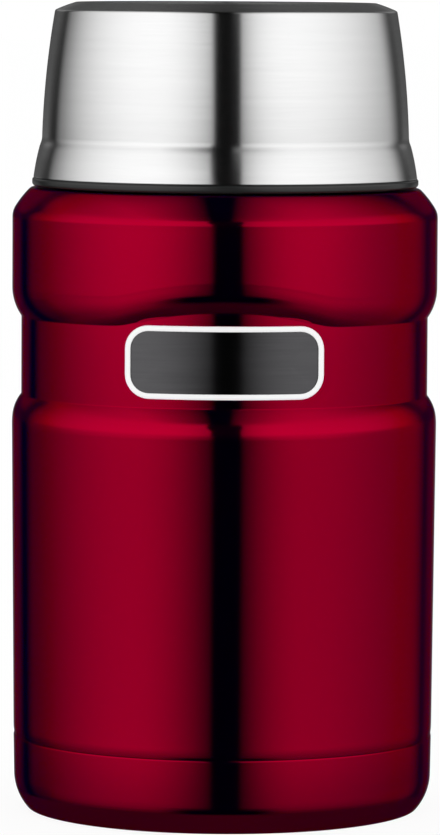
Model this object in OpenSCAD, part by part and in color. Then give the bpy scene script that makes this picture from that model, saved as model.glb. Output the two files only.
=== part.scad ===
// Vacuum insulated food jar: double-walled steel jar, screw-in stopper, and a lid that is also the bowl.
// The axis is Z, the jar stands on Z = 0, and the badge faces -Y. Millimetres.

/* [Jar body] */
// Radius of the lower body at its top edge
body_r = 50.6; // [42:0.1:64]
// Height of the lower body, from the seam to its rounded top edge
lower_h = 76.1; // [50:0.1:140]
// How far the lower body draws in down to the seam
body_draw = 0.6; // [0.2:0.1:3]
// Height of the base cap, up to its seam with the outer shell
base_h = 17.5; // [13:0.1:24]
// How far the base cap draws in down to its rounded foot
base_draw = 0.15; // [0.1:0.05:1]
// Rounding of the lower body's top edge
edge_round = 8.3; // [6:0.1:12]
// Depth of the pressed waist
waist_d = 2.2; // [1.6:0.1:3.5]
// Height of the waist
waist_h = 18.4; // [16:0.1:22]
// How far the upper band stands out past the lower body
band_out = 0; // [0:0.1:1]
// Height of the upper band's straight side
band_h = 16.7; // [8:0.1:30]
// Rounding of the upper band's lower edge, down to the waist
band_round = 12; // [8:0.5:16]
// Room between the badge's upper corners and the arch over them
arch_room = 1.1; // [0.6:0.1:3]
// How far behind the jar's axis the arch is centred: the farther, the narrower the arch
arch_back = 32.5; // [24:0.5:45]
// Thickness of the jar's steel sheet
sheet = 0.5; // [0.4:0.05:0.8]

/* [Shoulder and neck] */
// Rounding where the upper band turns into the shoulder
shoulder_edge = 4.5; // [3:0.1:6]
// Rounding of the shoulder itself
shoulder_round = 22; // [18:0.5:26]
// Height of the neck above the shoulder's ledge
neck_h = 15; // [13:0.1:22]
// Rounding at the root of the neck
root_round = 1.2; // [0.8:0.1:1.6]

/* [Vacuum vessel] */
// Vacuum gap between the waist and the inner vessel
vacuum_gap = 4.6; // [3:0.1:8]
// Vacuum gap between the two necks
neck_gap = 0.8; // [0.5:0.1:1.4]
// Gap between the base cap and the bottom of the inner vessel
bottom_gap = 7.6; // [6.5:0.1:12]
// Rounding of the inner vessel's bottom
bottom_round = 12; // [6:0.5:20]
// Sum of the two roundings of the inner vessel's shoulder
vessel_s = 14; // [11:0.5:18]
// Thickness of the wrapped radiation foil
foil = 0.2; // [0.1:0.05:0.4]

/* [Foot] */
// Large rounding of the foot
foot_round = 12.5; // [9:0.5:14]
// Small rounding onto the flat of the foot
foot_edge = 0.8; // [0.6:0.1:1.5]
// Width of the flat ring that the jar stands on
foot_w = 2.3; // [1.5:0.1:4]
// Depth of the recess under the base
recess_h = 3; // [1.5:0.1:3.6]
// Radius of the dimple in the middle of the recess
dimple_r = 9; // [6:0.5:14]
// Depth of the dimple
dimple_h = 1.4; // [1:0.1:2.2]

/* [Badge] */
// Width of the bare plate
badge_w = 46; // [36:0.5:52]
// Height of the plate
badge_h = 17; // [14:0.5:19]
// Height of the plate's lower edge above the lower edge of the waist
badge_low = 2; // [0.5:0.1:3]
// Corner radius of the plate
badge_corner = 5.5; // [3:0.5:6.5]
// Thickness of the plate, with its raised rim
badge_t = 0.7; // [0.5:0.1:0.8]
// Width of the raised rim
badge_rim = 1.3; // [0.8:0.1:2]
// Height of the raised rim above the field
badge_step = 0.3; // [0.15:0.05:0.4]
// Thickness of the adhesive pad behind the plate
pad_t = 0.3; // [0.2:0.1:0.5]

/* [Stopper] */
// Depth of the plug below the lip
plug_h = 18.4; // [17.5:0.1:24]
// Wall of the plug and of its cap
plug_wall = 1.8; // [1.4:0.1:2.2]
// Room between plug and neck, which the threads need
plug_room = 1.1; // [0.9:0.1:1.6]
// Height of the cap's rim above the plug's flange
cap_h = 3.1; // [2.6:0.1:5]
// Depth of the finger well below the cap's rim
well_h = 10.5; // [8:0.1:11]
// Width of the grip bar across the well
grip_w = 12; // [10:0.5:18]
// Height of the gasket
gasket_h = 3.4; // [2.6:0.1:4.4]
// Depth of the gasket's groove
groove_d = 2; // [1.4:0.1:2.4]
// Height of the groove above the underside of the plug
groove_up = 2.4; // [1.5:0.1:4]

/* [Bowl lid] */
// Height of the black ring under the lid
ring_h = 2.1; // [1.8:0.1:3]
// How far the ring stands out past the shoulder's ledge
ring_over = 0.35; // [0.2:0.05:1]
// How far the ring stands out past the lid's steel
ring_out = 0.3; // [0.1:0.05:0.6]
// Flare of the lid's skirt
skirt_flare = 1.5; // [0.8:0.1:2]
// Height of the skirt
skirt_h = 7.6; // [6:0.1:12]
// Width of the step above the skirt
step_w = 0.5; // [0.2:0.1:1]
// Height of the step
step_h = 1.3; // [0.8:0.1:2]
// Height of the lid's wall above the step
wall_h = 30.2; // [24:0.1:50]
// How far the wall draws in towards the top
wall_draw = 3; // [1.5:0.1:4]
// How far the wall swells past the straight at its middle
wall_bow = 0.55; // [0.2:0.05:0.9]
// Width of the sloping edge round the top
top_slope_w = 4.9; // [3:0.1:8]
// Height of that sloping edge
top_slope_h = 2.5; // [1.5:0.1:3]
// Thickness of the lid's steel
bowl_sheet = 0.6; // [0.4:0.05:0.8]
// Air gap between the steel and the liner, at the step
bowl_gap = 1; // [0.8:0.1:1.6]
// Wall of the liner
liner_wall = 1.6; // [1.2:0.1:2]
// Draw of the liner's wall from the neck to its floor
liner_draw = 3; // [2.6:0.1:6]
// Air gap between the top of the lid and the liner's floor
floor_gap = 2.6; // [1.5:0.1:5]
// Room between the neck and the liner, which the threads need
thread_room = 1.2; // [1:0.1:1.8]

/* [Hidden] */

// Clearances
seat_gap = 0.3;     // between pieces that come apart
fit = 0.1;          // between pieces that are pressed or snapped together
seam_gap = 0.2;     // groove at the seam of the base cap, and the height of the joggle below it
smooth = 128;

// Radii of the jar's body, from the foot up
waist_r = body_r - waist_d;
band_r = body_r + band_out;
seam_r = body_r - body_draw;
foot_side_r = seam_r - base_draw;

// Base cap
foot_angle = 41;                            // where the large rounding passes into the small one
foot_flat_r = foot_side_r - foot_round * (1 - cos(foot_angle)) - foot_edge * cos(foot_angle);
foot_in_r = foot_flat_r - foot_w;
foot_turn_z = foot_edge * (1 - sin(foot_angle)) + foot_round * sin(foot_angle);
lap_h = 4;                                  // the base cap's edge laps up inside the outer shell
lap_r = seam_r - sheet - fit / 2;
hole_r = 1.2;                               // evacuation hole in the dimple

// Outer shell, from the seam up
body_top_z = base_h + lower_h;
edge_angle = acos(1 - (body_r - waist_r) / edge_round);
waist_lo_z = body_top_z + edge_round * sin(edge_angle);
waist_hi_z = waist_lo_z + waist_h;
band_angle = acos(1 - (band_r - waist_r) / band_round);
band_lo_z = waist_hi_z + band_round * sin(band_angle);
band_hi_z = band_lo_z + band_h;
shoulder_a = 31;                            // where the edge's rounding passes into the shoulder's
shoulder_b = 45;                            // where the shoulder starts to turn level
ledge_round = 1.5;
shoulder_c = [band_r - shoulder_edge, band_hi_z] - (shoulder_round - shoulder_edge) * polar(shoulder_a);
ledge_c = shoulder_c + (shoulder_round - ledge_round) * polar(shoulder_b);
ledge_r = ledge_c[0];
ledge_z = ledge_c[1] + ledge_round;
lip_z = ledge_z + neck_h;

// Bowl lid, from the ring up
ring_z = ledge_z + seat_gap;
rim_r = ledge_r + ring_over;
edge_z = ring_z + ring_h;                   // lower edge of the steel
edge_r = rim_r - ring_out;
skirt_top = [edge_r - skirt_flare, edge_z + skirt_h];
wall_foot = [skirt_top[0] - step_w, skirt_top[1] + step_h];
wall_top = [wall_foot[0] - wall_draw, wall_foot[1] + wall_h];
top_corner = 0.4;                           // soft corner between the wall and the sloping edge
top_edge = [wall_top[0] - top_slope_w, wall_top[1] + top_slope_h];
liner_r = wall_foot[0] - bowl_sheet - bowl_gap;     // outside of the liner round the neck
flange_r = liner_r + liner_wall;
flange_z = ring_z + ring_h / 2;             // underside of the liner's flange, on the ring's web
liner_top_z = top_edge[1] - bowl_sheet - floor_gap;
liner_bend_z = lip_z + 1;                   // the liner is upright as far as the neck
liner_corner = 4;

// Neck, inner vessel and stopper, inwards from the liner
neck_r = liner_r - liner_wall - thread_room;
vessel_neck_r = neck_r - sheet - neck_gap;
mouth_r = vessel_neck_r - sheet;
lip_round = 0.5;
vessel_r = waist_r - sheet - vacuum_gap;
vessel_z = recess_h + sheet + bottom_gap;
plug_z = lip_z - plug_h;                    // underside of the plug
plug_sink = 1;                              // how far the plug's floor lies below the inner neck
neck_foot_z = plug_z + plug_sink;
vessel_s_angle = acos(1 - (vessel_r - vessel_neck_r) / vessel_s);
vessel_shoulder_z = neck_foot_z - vessel_s * sin(vessel_s_angle);
plug_r = mouth_r - plug_room;
plug_flange_z = lip_z + seat_gap;
plug_flange_h = 1.6;
stopper_in = 0.6;                           // how far the stopper's edge lies inside the neck's
stopper_r = neck_r - stopper_in;
groove_z = plug_z + groove_up;
cap_z = plug_flange_z + plug_flange_h;      // underside of the cap's rim
cap_top_z = cap_z + cap_h;
well_z = cap_top_z - well_h;
well_r = plug_r - 2 * plug_wall - seat_gap;
hollow_r = plug_r - groove_d - plug_wall;   // hollow of the plug behind its groove

// Badge, on the waist and under the arch
badge_z = waist_lo_z + badge_low + badge_h / 2;
pad_r = waist_r + pad_t;
badge_r = pad_r + badge_t;
corner_y = sqrt(waist_r * waist_r - pow(badge_w / 2 - badge_corner, 2));
corner_reach = norm([badge_w / 2 - badge_corner, corner_y + arch_back]);
arch_z = badge_z + badge_h / 2 + arch_room + (waist_r + arch_back - corner_reach) / tan(band_angle);

// A step of length 1 at angle a
function polar(a) = [cos(a), sin(a)];
// Points on an arc about c, from angle a0 to a1
function arc(c, r, a0, a1, n = 7) = [for (i = [0:n]) c + r * polar(a0 + (a1 - a0) * i / n)];
function unit(v) = v / norm(v);
function left_of(v) = [-v[1], v[0]];
// Points from p to q that stand s off the straight line at its middle, on the right-hand side
function bow(p, q, s, n = 8) =
    [for (i = [0:n]) p + (q - p) * i / n - left_of(unit(q - p)) * 4 * s * i * (n - i) / n / n];
// The outline without points that repeat the one before
function tidy(pts) = [for (i = [0:len(pts) - 1]) if (i == 0 || norm(pts[i] - pts[max(i - 1, 0)]) > 0.001) pts[i]];
function reversed(pts) = [for (i = [1:len(pts)]) pts[len(pts) - i]];
// Moves an open outline to its left by t, each point along the mitre of the edges that meet there
function inset(pts, t) = [for (i = [0:len(pts) - 1])
    let (last = len(pts) - 1,
        a = unit(pts[max(i, 1)] - pts[max(i, 1) - 1]),
        b = unit(pts[min(i, last - 1) + 1] - pts[min(i, last - 1)]))
    pts[i] + (left_of(a) + left_of(b)) * t / (1 + a * b)];
// A strip of thickness t on the left of an open outline
function strip(pts, t) = concat(pts, reversed(inset(pts, t)));

module revolve(pts) {
    rotate_extrude($fn = smooth) polygon(pts);
}

// A rounded plate that stands on the XZ plane's origin, drawn along Y
module rounded_bar(w, h, r, length) {
    rotate([90, 0, 0]) translate([0, 0, -length / 2]) {
        translate([-w / 2 + r, -h / 2, 0]) cube([w - 2 * r, h, length]);
        translate([-w / 2, -h / 2 + r, 0]) cube([w, h - 2 * r, length]);
        for (x = [-1, 1], z = [-1, 1])
            translate([x * (w / 2 - r), z * (h / 2 - r), 0]) cylinder(h = length, r = r, $fn = 64);
    }
}

// The outside of the outer shell, from its lower edge to the top of the neck
function shell_outline() = tidy(concat(
    [[seam_r, base_h + seam_gap]],
    arc([body_r - edge_round, body_top_z], edge_round, 0, edge_angle),
    arc([band_r - band_round, band_lo_z], band_round, -band_angle, 0),
    arc([band_r - shoulder_edge, band_hi_z], shoulder_edge, 0, shoulder_a),
    arc(shoulder_c, shoulder_round, shoulder_a, shoulder_b),
    arc(ledge_c, ledge_round, shoulder_b, 90),
    arc([neck_r + root_round, ledge_z + root_round], root_round, 270, 180),
    [[neck_r, lip_z - sheet]]));

// The form of the jar's body t inside its outer surface, as one solid that runs t past both open ends
module body_form(t) {
    skin = inset(shell_outline(), t);
    low = base_h + seam_gap - t;
    high = lip_z - sheet + t;
    difference() {
        revolve(tidy(concat([[0, low], [skin[0][0], low]], skin, [[skin[len(skin) - 1][0], high], [0, high]])));
        arch_press(t);
    }
}

// The upper band's lower edge drawn again for the arch: higher, round an axis behind the jar's, and running
// out just above the band's surface
function press_outline() = let (low = waist_lo_z + waist_h / 2, run_out = 0.05)
    [for (p = concat(
        [[waist_r - (arch_z - low) * tan(band_angle), low]],
        arc([band_r - band_round, band_lo_z + arch_z - waist_hi_z], band_round, -band_angle, 0)))
        p + [arch_back + run_out, 0]];

// What the press takes off over the badge: all outside that outline and outside the waist
module arch_press(t) {
    skin = inset(press_outline(), t);
    low = skin[0][1];
    high = skin[len(skin) - 1][1];
    difference() {
        translate([0, 0, low]) cylinder(h = high - low, r = 2 * band_r, $fn = smooth);
        translate([0, arch_back, 0])
            revolve(concat([[0, low - 1], [skin[0][0], low - 1]], skin, [[skin[len(skin) - 1][0], high + 1], [0, high + 1]]));
        cylinder(h = high + 1, r = waist_r - t, $fn = smooth);
    }
}

module outer_shell() {
    color("firebrick") difference() {
        body_form(0);
        body_form(sheet);
    }
}

// The outside of the base cap, from the evacuation hole to the edge that laps inside the shell
function base_outline() = tidy(concat(
    [[hole_r, recess_h + dimple_h], [dimple_r - dimple_h, recess_h + dimple_h], [dimple_r, recess_h]],
    [[foot_in_r - recess_h, recess_h]],
    [[foot_in_r, 0]],
    arc([foot_flat_r, foot_edge], foot_edge, -90, -foot_angle, 4),
    arc([foot_side_r - foot_round, foot_turn_z], foot_round, -foot_angle, 0),
    [[seam_r, base_h - seam_gap], [lap_r, base_h], [lap_r, base_h + lap_h]]));

module base_cap() {
    color("firebrick") revolve(strip(base_outline(), sheet));
}

// Bead that closes the evacuation hole
module vacuum_seal() {
    top = recess_h + dimple_h;
    bead_r = 2.6;
    bead_h = 1;
    color("dimgray") revolve(concat([[0, top + sheet], [0, top - bead_h]],
        bow([0, top - bead_h], [bead_r, top], bead_h / 4, 5), [[hole_r - fit / 2, top], [hole_r - fit / 2, top + sheet]]));
}

// The vacuum side of the inner vessel, from the middle of its bottom to its turned-out lip
function vessel_outline() = tidy(concat(
    [[0, vessel_z]],
    arc([vessel_r - bottom_round, vessel_z + bottom_round], bottom_round, -90, 0, 10),
    arc([vessel_r - vessel_s / 2, vessel_shoulder_z], vessel_s / 2, 0, vessel_s_angle),
    arc([vessel_neck_r + vessel_s / 2, neck_foot_z], vessel_s / 2, 180 + vessel_s_angle, 180),
    arc([vessel_neck_r + lip_round, lip_z - sheet - lip_round], lip_round, 180, 90, 4),
    [[neck_r, lip_z - sheet]]));

module inner_vessel() {
    color("lightgray") revolve(strip(vessel_outline(), sheet));
}

// Foil wound round the straight part of the vessel, in the vacuum
module radiation_foil() {
    low = vessel_z + bottom_round + 1;
    color("silver") revolve([for (p = [[fit / 2, low], [fit / 2 + foil, low],
        [fit / 2 + foil, vessel_shoulder_z - 1], [fit / 2, vessel_shoulder_z - 1]]) [vessel_r + p[0], p[1]]]);
}

// Cup welded under the vessel, behind the axis, with the getter pressed into it
getter_r = 4.4;
getter_h = 2.2;
getter_wall = 0.3;
getter_y = 16;

module getter_holder() {
    outer = getter_r + fit + getter_wall;
    h = getter_h + getter_wall;
    flange = 1.5;
    color("gainsboro") translate([0, getter_y, vessel_z - h]) difference() {
        union() {
            cylinder(h = h, r = outer, $fn = 64);
            translate([0, 0, h - getter_wall]) cylinder(h = getter_wall, r = outer + flange, $fn = 64);
        }
        translate([0, 0, getter_wall]) cylinder(h = h, r = getter_r + fit, $fn = 64);
    }
}

module getter_pellet() {
    color("darkgray") translate([0, getter_y, vessel_z - getter_h]) cylinder(h = getter_h - fit, r = getter_r, $fn = 64);
}

// The part of a ring round the waist that lies inside a rounded plate's outline
module waist_plate(r0, r1, w, h, corner) {
    intersection() {
        translate([0, -r1, badge_z]) rounded_bar(w, h, corner, r1);
        difference() {
            cylinder(h = band_lo_z, r = r1, $fn = smooth);
            cylinder(h = band_lo_z, r = r0, $fn = smooth);
        }
    }
}

module badge_pad() {
    inset_w = 2;
    color("black") waist_plate(waist_r, pad_r, badge_w - inset_w, badge_h - inset_w, badge_corner - inset_w / 2);
}

module badge_plate() {
    color("dimgray") difference() {
        waist_plate(pad_r, badge_r, badge_w, badge_h, badge_corner);
        waist_plate(badge_r - badge_step, badge_r + 1, badge_w - 2 * badge_rim, badge_h - 2 * badge_rim,
            badge_corner - badge_rim);
    }
}

// Screw-in plug: a cup with a flange over the lip and a groove for its gasket near the lower end
module stopper_plug() {
    groove_r = plug_r - groove_d;
    groove_top = groove_z + gasket_h + fit;
    inner_r = plug_r - plug_wall;
    flange_top = plug_flange_z + plug_flange_h;
    floor_edge = 1.2;
    flange_edge = 0.6;
    color("#2b2b2d") revolve(concat(
        [[0, plug_z]], arc([plug_r - floor_edge, plug_z + floor_edge], floor_edge, -90, 0, 4),
        [[plug_r, groove_z], [groove_r, groove_z], [groove_r, groove_top], [plug_r, groove_top]],
        [[plug_r, plug_flange_z]],
        arc([stopper_r - flange_edge, plug_flange_z + flange_edge], flange_edge, -90, 0, 4),
        [[stopper_r, flange_top], [inner_r, flange_top]],
        [[inner_r, groove_top + plug_wall], [hollow_r, groove_top + plug_wall]],
        [[hollow_r, plug_z + plug_wall], [0, plug_z + plug_wall]]));
}

// Cap with a round finger well and a hollow grip bar across it
module stopper_cap() {
    round = 2;
    rim_edge = 1.2;
    well_edge = 1;
    skirt_r = well_r + plug_wall;
    under_z = well_z - plug_wall;
    bar_h = cap_top_z - under_z;
    color("#38383b") difference() {
        union() {
            revolve(concat(
                [[0, under_z]], arc([skirt_r - round, under_z + round], round, -90, 0, 4),
                [[skirt_r, cap_z]], [[stopper_r, cap_z]],
                arc([stopper_r - rim_edge, cap_top_z - rim_edge], rim_edge, 0, 90, 5),
                arc([well_r + well_edge, cap_top_z - well_edge], well_edge, 90, 180, 4),
                arc([well_r - round, well_z + round], round, 0, -90, 5),
                [[0, well_z]]));
            intersection() {
                translate([0, 0, cap_top_z - bar_h / 2]) rotate([0, 0, 90])
                    rounded_bar(grip_w, bar_h, round, 2 * skirt_r);
                cylinder(h = cap_top_z, r = well_r + plug_wall / 2, $fn = smooth);
                translate([-skirt_r, -skirt_r, under_z + plug_wall / 2]) cube([2 * skirt_r, 2 * skirt_r, bar_h]);
            }
        }
        hollow_l = 2 * (well_r - plug_wall);
        hollow_w = grip_w - 2 * plug_wall;
        translate([-hollow_l / 2, -hollow_w / 2, under_z - 1])
            cube([hollow_l, hollow_w, cap_top_z - plug_wall - under_z + 1]);
    }
}

// Foam disc between the plug's floor and the underside of the well
module stopper_foam() {
    low = plug_z + plug_wall;
    color("khaki") translate([0, 0, low]) cylinder(h = well_z - plug_wall - low - fit, r = hollow_r - fit, $fn = smooth);
}

// Silicone ring with two lips, in the plug's groove
module stopper_gasket() {
    inner_r = plug_r - groove_d + fit / 2;
    low = groove_z + fit / 2;
    lip = gasket_h / 4;
    back_r = mouth_r - seat_gap - lip;
    lip_angle = 60;
    color("whitesmoke") revolve(concat(
        [[inner_r, low], [back_r, low]],
        arc([back_r, low + lip], lip, -lip_angle, lip_angle, 5),
        arc([back_r, low + 3 * lip], lip, -lip_angle, lip_angle, 5),
        [[back_r, low + gasket_h], [inner_r, low + gasket_h]]));
}

// The outside of the lid's steel, from its lower edge over the top
function bowl_outline() = tidy(concat(
    bow([edge_r, edge_z], skirt_top, 0.14, 5),
    bow(wall_foot, wall_top, wall_bow),
    bow(wall_top + [-top_corner, top_corner], top_edge, 0.1, 4),
    [[0, top_edge[1]]]));

module bowl_shell() {
    color("silver") revolve(strip(bowl_outline(), bowl_sheet));
}

// The air side of the liner, from its flange to the middle of the bowl's floor
flange_root = 0.5;
draw_angle = atan(liner_draw / (liner_top_z - liner_bend_z));

function liner_outline() = tidy(concat(
    [[flange_r, flange_z + liner_wall]],
    arc([liner_r + flange_root, flange_z + liner_wall + flange_root], flange_root, 270, 180, 3),
    [[liner_r, liner_bend_z]],
    arc([liner_r - liner_draw - liner_corner, liner_top_z - liner_corner], liner_corner, draw_angle, 90, 7),
    [[0, liner_top_z]]));

module bowl_liner() {
    color("#1f1f21") revolve(strip(liner_outline(), liner_wall));
}

// Black ring that carries the steel's edge and the liner's flange, and closes on the shoulder
module rim_ring() {
    edge_dip = bowl_sheet * skirt_flare / skirt_h;      // the steel's cut edge leans down this far inside
    bead = (ring_h - edge_dip) / 2;
    tongue_h = 2.4;
    tongue_r = edge_r - bowl_sheet - fit;
    inner_r = liner_r - liner_wall + 0.6;       // just outside the liner's bore
    bead_c = [rim_r - bead, ring_z + bead];
    color("#161617") revolve(concat(
        [[inner_r, ring_z]],
        arc(bead_c, bead, -90, acos((tongue_r - bead_c[0]) / bead), 9),
        [[tongue_r - skirt_flare * tongue_h / skirt_h - fit, edge_z + tongue_h]],
        [[flange_r + fit, edge_z + tongue_h], [flange_r + fit, flange_z], [inner_r, flange_z]]));
}

outer_shell();
base_cap();
vacuum_seal();
inner_vessel();
radiation_foil();
getter_holder();
getter_pellet();
badge_pad();
badge_plate();
stopper_plug();
stopper_cap();
stopper_foam();
stopper_gasket();
bowl_shell();
bowl_liner();
rim_ring();
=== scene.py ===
import math

import bmesh
import bpy
import numpy as np
from mathutils import Matrix, Vector


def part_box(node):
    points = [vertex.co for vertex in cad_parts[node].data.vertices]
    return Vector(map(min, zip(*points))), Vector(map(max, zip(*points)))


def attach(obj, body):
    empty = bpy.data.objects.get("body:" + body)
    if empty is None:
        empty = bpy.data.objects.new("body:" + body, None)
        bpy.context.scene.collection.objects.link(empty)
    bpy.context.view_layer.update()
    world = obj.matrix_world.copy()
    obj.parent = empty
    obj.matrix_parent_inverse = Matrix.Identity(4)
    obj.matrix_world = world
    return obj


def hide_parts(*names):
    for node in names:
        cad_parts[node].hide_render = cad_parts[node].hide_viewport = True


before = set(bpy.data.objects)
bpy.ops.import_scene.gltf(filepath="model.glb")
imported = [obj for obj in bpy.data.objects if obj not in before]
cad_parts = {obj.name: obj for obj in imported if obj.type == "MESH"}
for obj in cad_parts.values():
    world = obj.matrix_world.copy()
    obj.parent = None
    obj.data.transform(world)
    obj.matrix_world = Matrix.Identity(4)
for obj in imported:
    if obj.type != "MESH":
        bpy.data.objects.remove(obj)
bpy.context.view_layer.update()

mm = 0.001           # sizes and outlines are in millimetres, and meshes in metres
columns = 256        # points round the axis
threadStep = 0.35    # height between the rows of a thread
print("frame loaded")


# A CAD node's lowest and highest corner
def nodeBox(node):
    low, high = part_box(node)
    return np.array(low) / mm, np.array(high) / mm


# Smooth step from 0 at low to 1 at high: 3t² - 2t³
def ease(value, low, high):
    t = np.clip((value - low) / (high - low), 0, 1)
    return t * t * (3 - 2 * t)


# The unit vector at an angle in degrees
def heading(angle):
    return np.array([math.cos(math.radians(angle)), math.sin(math.radians(angle))])


# The angle in degrees over which a rounding of this radius draws in by a depth
def turnOf(depth, radius):
    return math.degrees(math.acos(1 - depth / radius))


# Points on a circle's arc, at even angles from start to end in degrees
def arcPoints(centre, radius, start, end, count):
    angle = np.radians(np.linspace(start, end, count))
    return np.column_stack([centre[0] + radius * np.cos(angle), centre[1] + radius * np.sin(angle)])


# Points from p to q that swell to the right of the straight line by 4 s t (1 - t)
def bow(p, q, swell, count):
    p, q = np.array(p, float), np.array(q, float)
    t = np.linspace(0, 1, count)[:, None]
    along = (q - p) / np.linalg.norm(q - p)
    return p + (q - p) * t + np.array([along[1], -along[0]]) * 4 * swell * t * (1 - t)


# Rows of r, z and no rounding, for an outline's plain points
def corners(points):
    return [(p[0], p[1], 0.0) for p in points]


# An outline from rows of r, z and rounding: an arc touches both edges at radius * tan(half the turn)
# from the corner, about a centre on the bisector, with a point at least every 9 degrees
def rounded(rows):
    rows = np.array(rows, float)
    points, radii = rows[:, :2], rows[:, 2]
    out = [points[:1]]
    for before, point, after, radius in zip(points[:-2], points[1:-1], points[2:], radii[1:-1]):
        u = (point - before) / np.linalg.norm(point - before)
        v = (after - point) / np.linalg.norm(after - point)
        turn = math.atan2(u[0] * v[1] - u[1] * v[0], u @ v)
        if radius <= 0 or abs(turn) < 0.01:
            out.append(point[None])
            continue
        reach = radius * math.tan(abs(turn) / 2)
        inward = (v - u) / np.linalg.norm(v - u)
        centre = point + inward * radius / math.cos(turn / 2)
        start = point - u * reach - centre
        first = math.degrees(math.atan2(start[1], start[0]))
        count = max(4, int(abs(math.degrees(turn)) / 9) + 2)
        out.append(arcPoints(centre, radius, first, first + math.degrees(turn), count))
    out.append(points[-1:])
    return np.vstack(out)


# The outline with every edge cut into pieces no longer than step. Long edges also get points close to
# both ends, so that the shading of a rounded corner doesn't spread along them
def refined(path, step=2.5, close=(0.15, 0.5)):
    out = [path[:1]]
    for a, b in zip(path[:-1], path[1:]):
        length = np.linalg.norm(b - a)
        inner = [d for d in close if d < length / 3]
        share = np.concatenate([[0], inner, length - np.array(inner[::-1]), [length]]) / length
        marks = [np.linspace(p, q, max(1, math.ceil((q - p) * length / step)) + 1)[1:]
                 for p, q in zip(share[:-1], share[1:])]
        out.append(a + (b - a) * np.concatenate(marks)[:, None])
    return np.vstack(out)


# The outline with a thread's close rows, from a margin below the thread upwards
def refinedNeck(path, threadLow, margin=3):
    neckRows = path[:, 1] > threadLow - margin
    return np.vstack([path[~neckRows], refined(path[neckRows], threadStep)])


# The outline moved to its left, each point along the mitre of its two edges
def offset(path, distance):
    edge = np.diff(path, axis=0)
    edge /= np.linalg.norm(edge, axis=1)[:, None]
    normal = np.column_stack([-edge[:, 1], edge[:, 0]])
    before, after = np.vstack([normal[:1], normal]), np.vstack([normal, normal[-1:]])
    return path + distance * (before + after) / (1 + np.sum(before * after, axis=1))[:, None]


# Radius, height and angle of every grid point, for an outline turned about the axis. The columns stand
# closer together at the badge's side where crowd * sin(angle) is taken from their even angles
def turned(path, count=columns, crowd=0.0):
    angle = np.linspace(0, 2 * np.pi, count, endpoint=False)[None]
    angle = angle - crowd * np.sin(angle)
    return np.broadcast_arrays(path[:, :1], path[:, 1:], angle)


# Grid points in space. The angle starts at the badge's side, -Y, and grows towards +X
def aroundAxis(radius, height, angle):
    return np.stack([radius * np.sin(angle), -radius * np.cos(angle), height], axis=-1)


# Faces of a grid whose columns close round. A row that has shrunk to a point becomes one vertex, and
# the last row joins the first where the outline is closed
def gridFaces(xyz, closed):
    rows, count = xyz.shape[:2]
    index = np.arange(rows * count).reshape(rows, count)
    shrunk = np.ptp(xyz, axis=1).max(axis=-1) < 1e-9
    index[shrunk] = index[shrunk][:, :1]
    if closed:
        index = np.vstack([index, index[:1]])
    beside = np.roll(index, -1, axis=1)
    quads = np.stack([index[:-1], beside[:-1], beside[1:], index[1:]], axis=-1).reshape(-1, 4)
    flatLow, flatHigh = quads[:, 0] == quads[:, 1], quads[:, 2] == quads[:, 3]
    faces = quads[~flatLow & ~flatHigh].tolist()
    faces += quads[flatLow & ~flatHigh][:, [0, 2, 3]].tolist()
    faces += quads[~flatLow & flatHigh][:, [0, 1, 2]].tolist()
    return xyz.reshape(-1, 3), faces


def newObject(name, data):
    piece = bpy.data.objects.new(name, data)
    bpy.context.scene.collection.objects.link(piece)
    return piece


# One object from several grids. Unused and doubled points go, normals turn outwards, and only edges
# sharper than the angle stay sharp
def makePiece(name, grids, body, nodes, materials, sharp=38, merge=1e-4):
    points, faces, base = [], [], 0
    for xyz, closed in grids:
        p, f = gridFaces(xyz, closed)
        points.append(p)
        faces += [[i + base for i in face] for face in f]
        base += len(p)
    mesh = bpy.data.meshes.new(name)
    mesh.from_pydata((np.vstack(points) * mm).tolist(), [], faces)
    bm = bmesh.new()
    bm.from_mesh(mesh)
    bmesh.ops.delete(bm, geom=[v for v in bm.verts if not v.link_faces], context="VERTS")
    bmesh.ops.remove_doubles(bm, verts=bm.verts, dist=merge * mm)
    bmesh.ops.recalc_face_normals(bm, faces=bm.faces)
    bm.to_mesh(mesh)
    bm.free()
    mesh.polygons.foreach_set("use_smooth", np.ones(len(mesh.polygons), bool))
    mesh.set_sharp_from_angle(angle=math.radians(sharp))
    piece = newObject(name, mesh)
    for material in materials:
        mesh.materials.append(material)
    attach(piece, body)
    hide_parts(*nodes)
    print(name, "has", len(mesh.polygons), "faces")
    return piece


# How far a thread stands out: the nearest turn is the whole number next to climb - angle, the ridge is
# cos² across its width, and it fades over the first and last tenth of a turn
def thread(height, angle, low, t):
    share, pitch, width = angle / (2 * np.pi), t["threadPitch"], t["threadWidth"]
    turn = np.round((height - low) / pitch - share) + share
    away = height - low - pitch * turn
    ridge = np.where(np.abs(away) < width / 2, np.cos(np.pi * away / width) ** 2, 0)
    ridge = ridge * ease(turn, 0, 0.1) * ease(t["threadTurns"] - turn, 0, 0.1)
    return t["threadHeight"] * ridge


# A material on the Principled shader, with its plain values on the shader's own sockets
def makeMaterial(name, **values):
    material = bpy.data.materials.new(name)
    material.use_nodes = True
    shader = material.node_tree.nodes["Principled BSDF"]
    for socket, value in values.items():
        shader.inputs[socket.replace("_", " ")].default_value = value
    return material


# A shader node with its settings, and its inputs set or linked by name or number
def addNode(material, kind, inputs=None, **settings):
    tree = material.node_tree
    node = tree.nodes.new("ShaderNode" + kind)
    for key, value in settings.items():
        setattr(node, key, value)
    for key, value in (inputs or {}).items():
        if isinstance(value, bpy.types.NodeSocket):
            tree.links.new(value, node.inputs[key])
        else:
            node.inputs[key].default_value = value
    return node


# Joins a socket to one of the Principled shader's inputs
def link(material, socket, name):
    tree = material.node_tree
    tree.links.new(socket, tree.nodes["Principled BSDF"].inputs[name])


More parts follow.
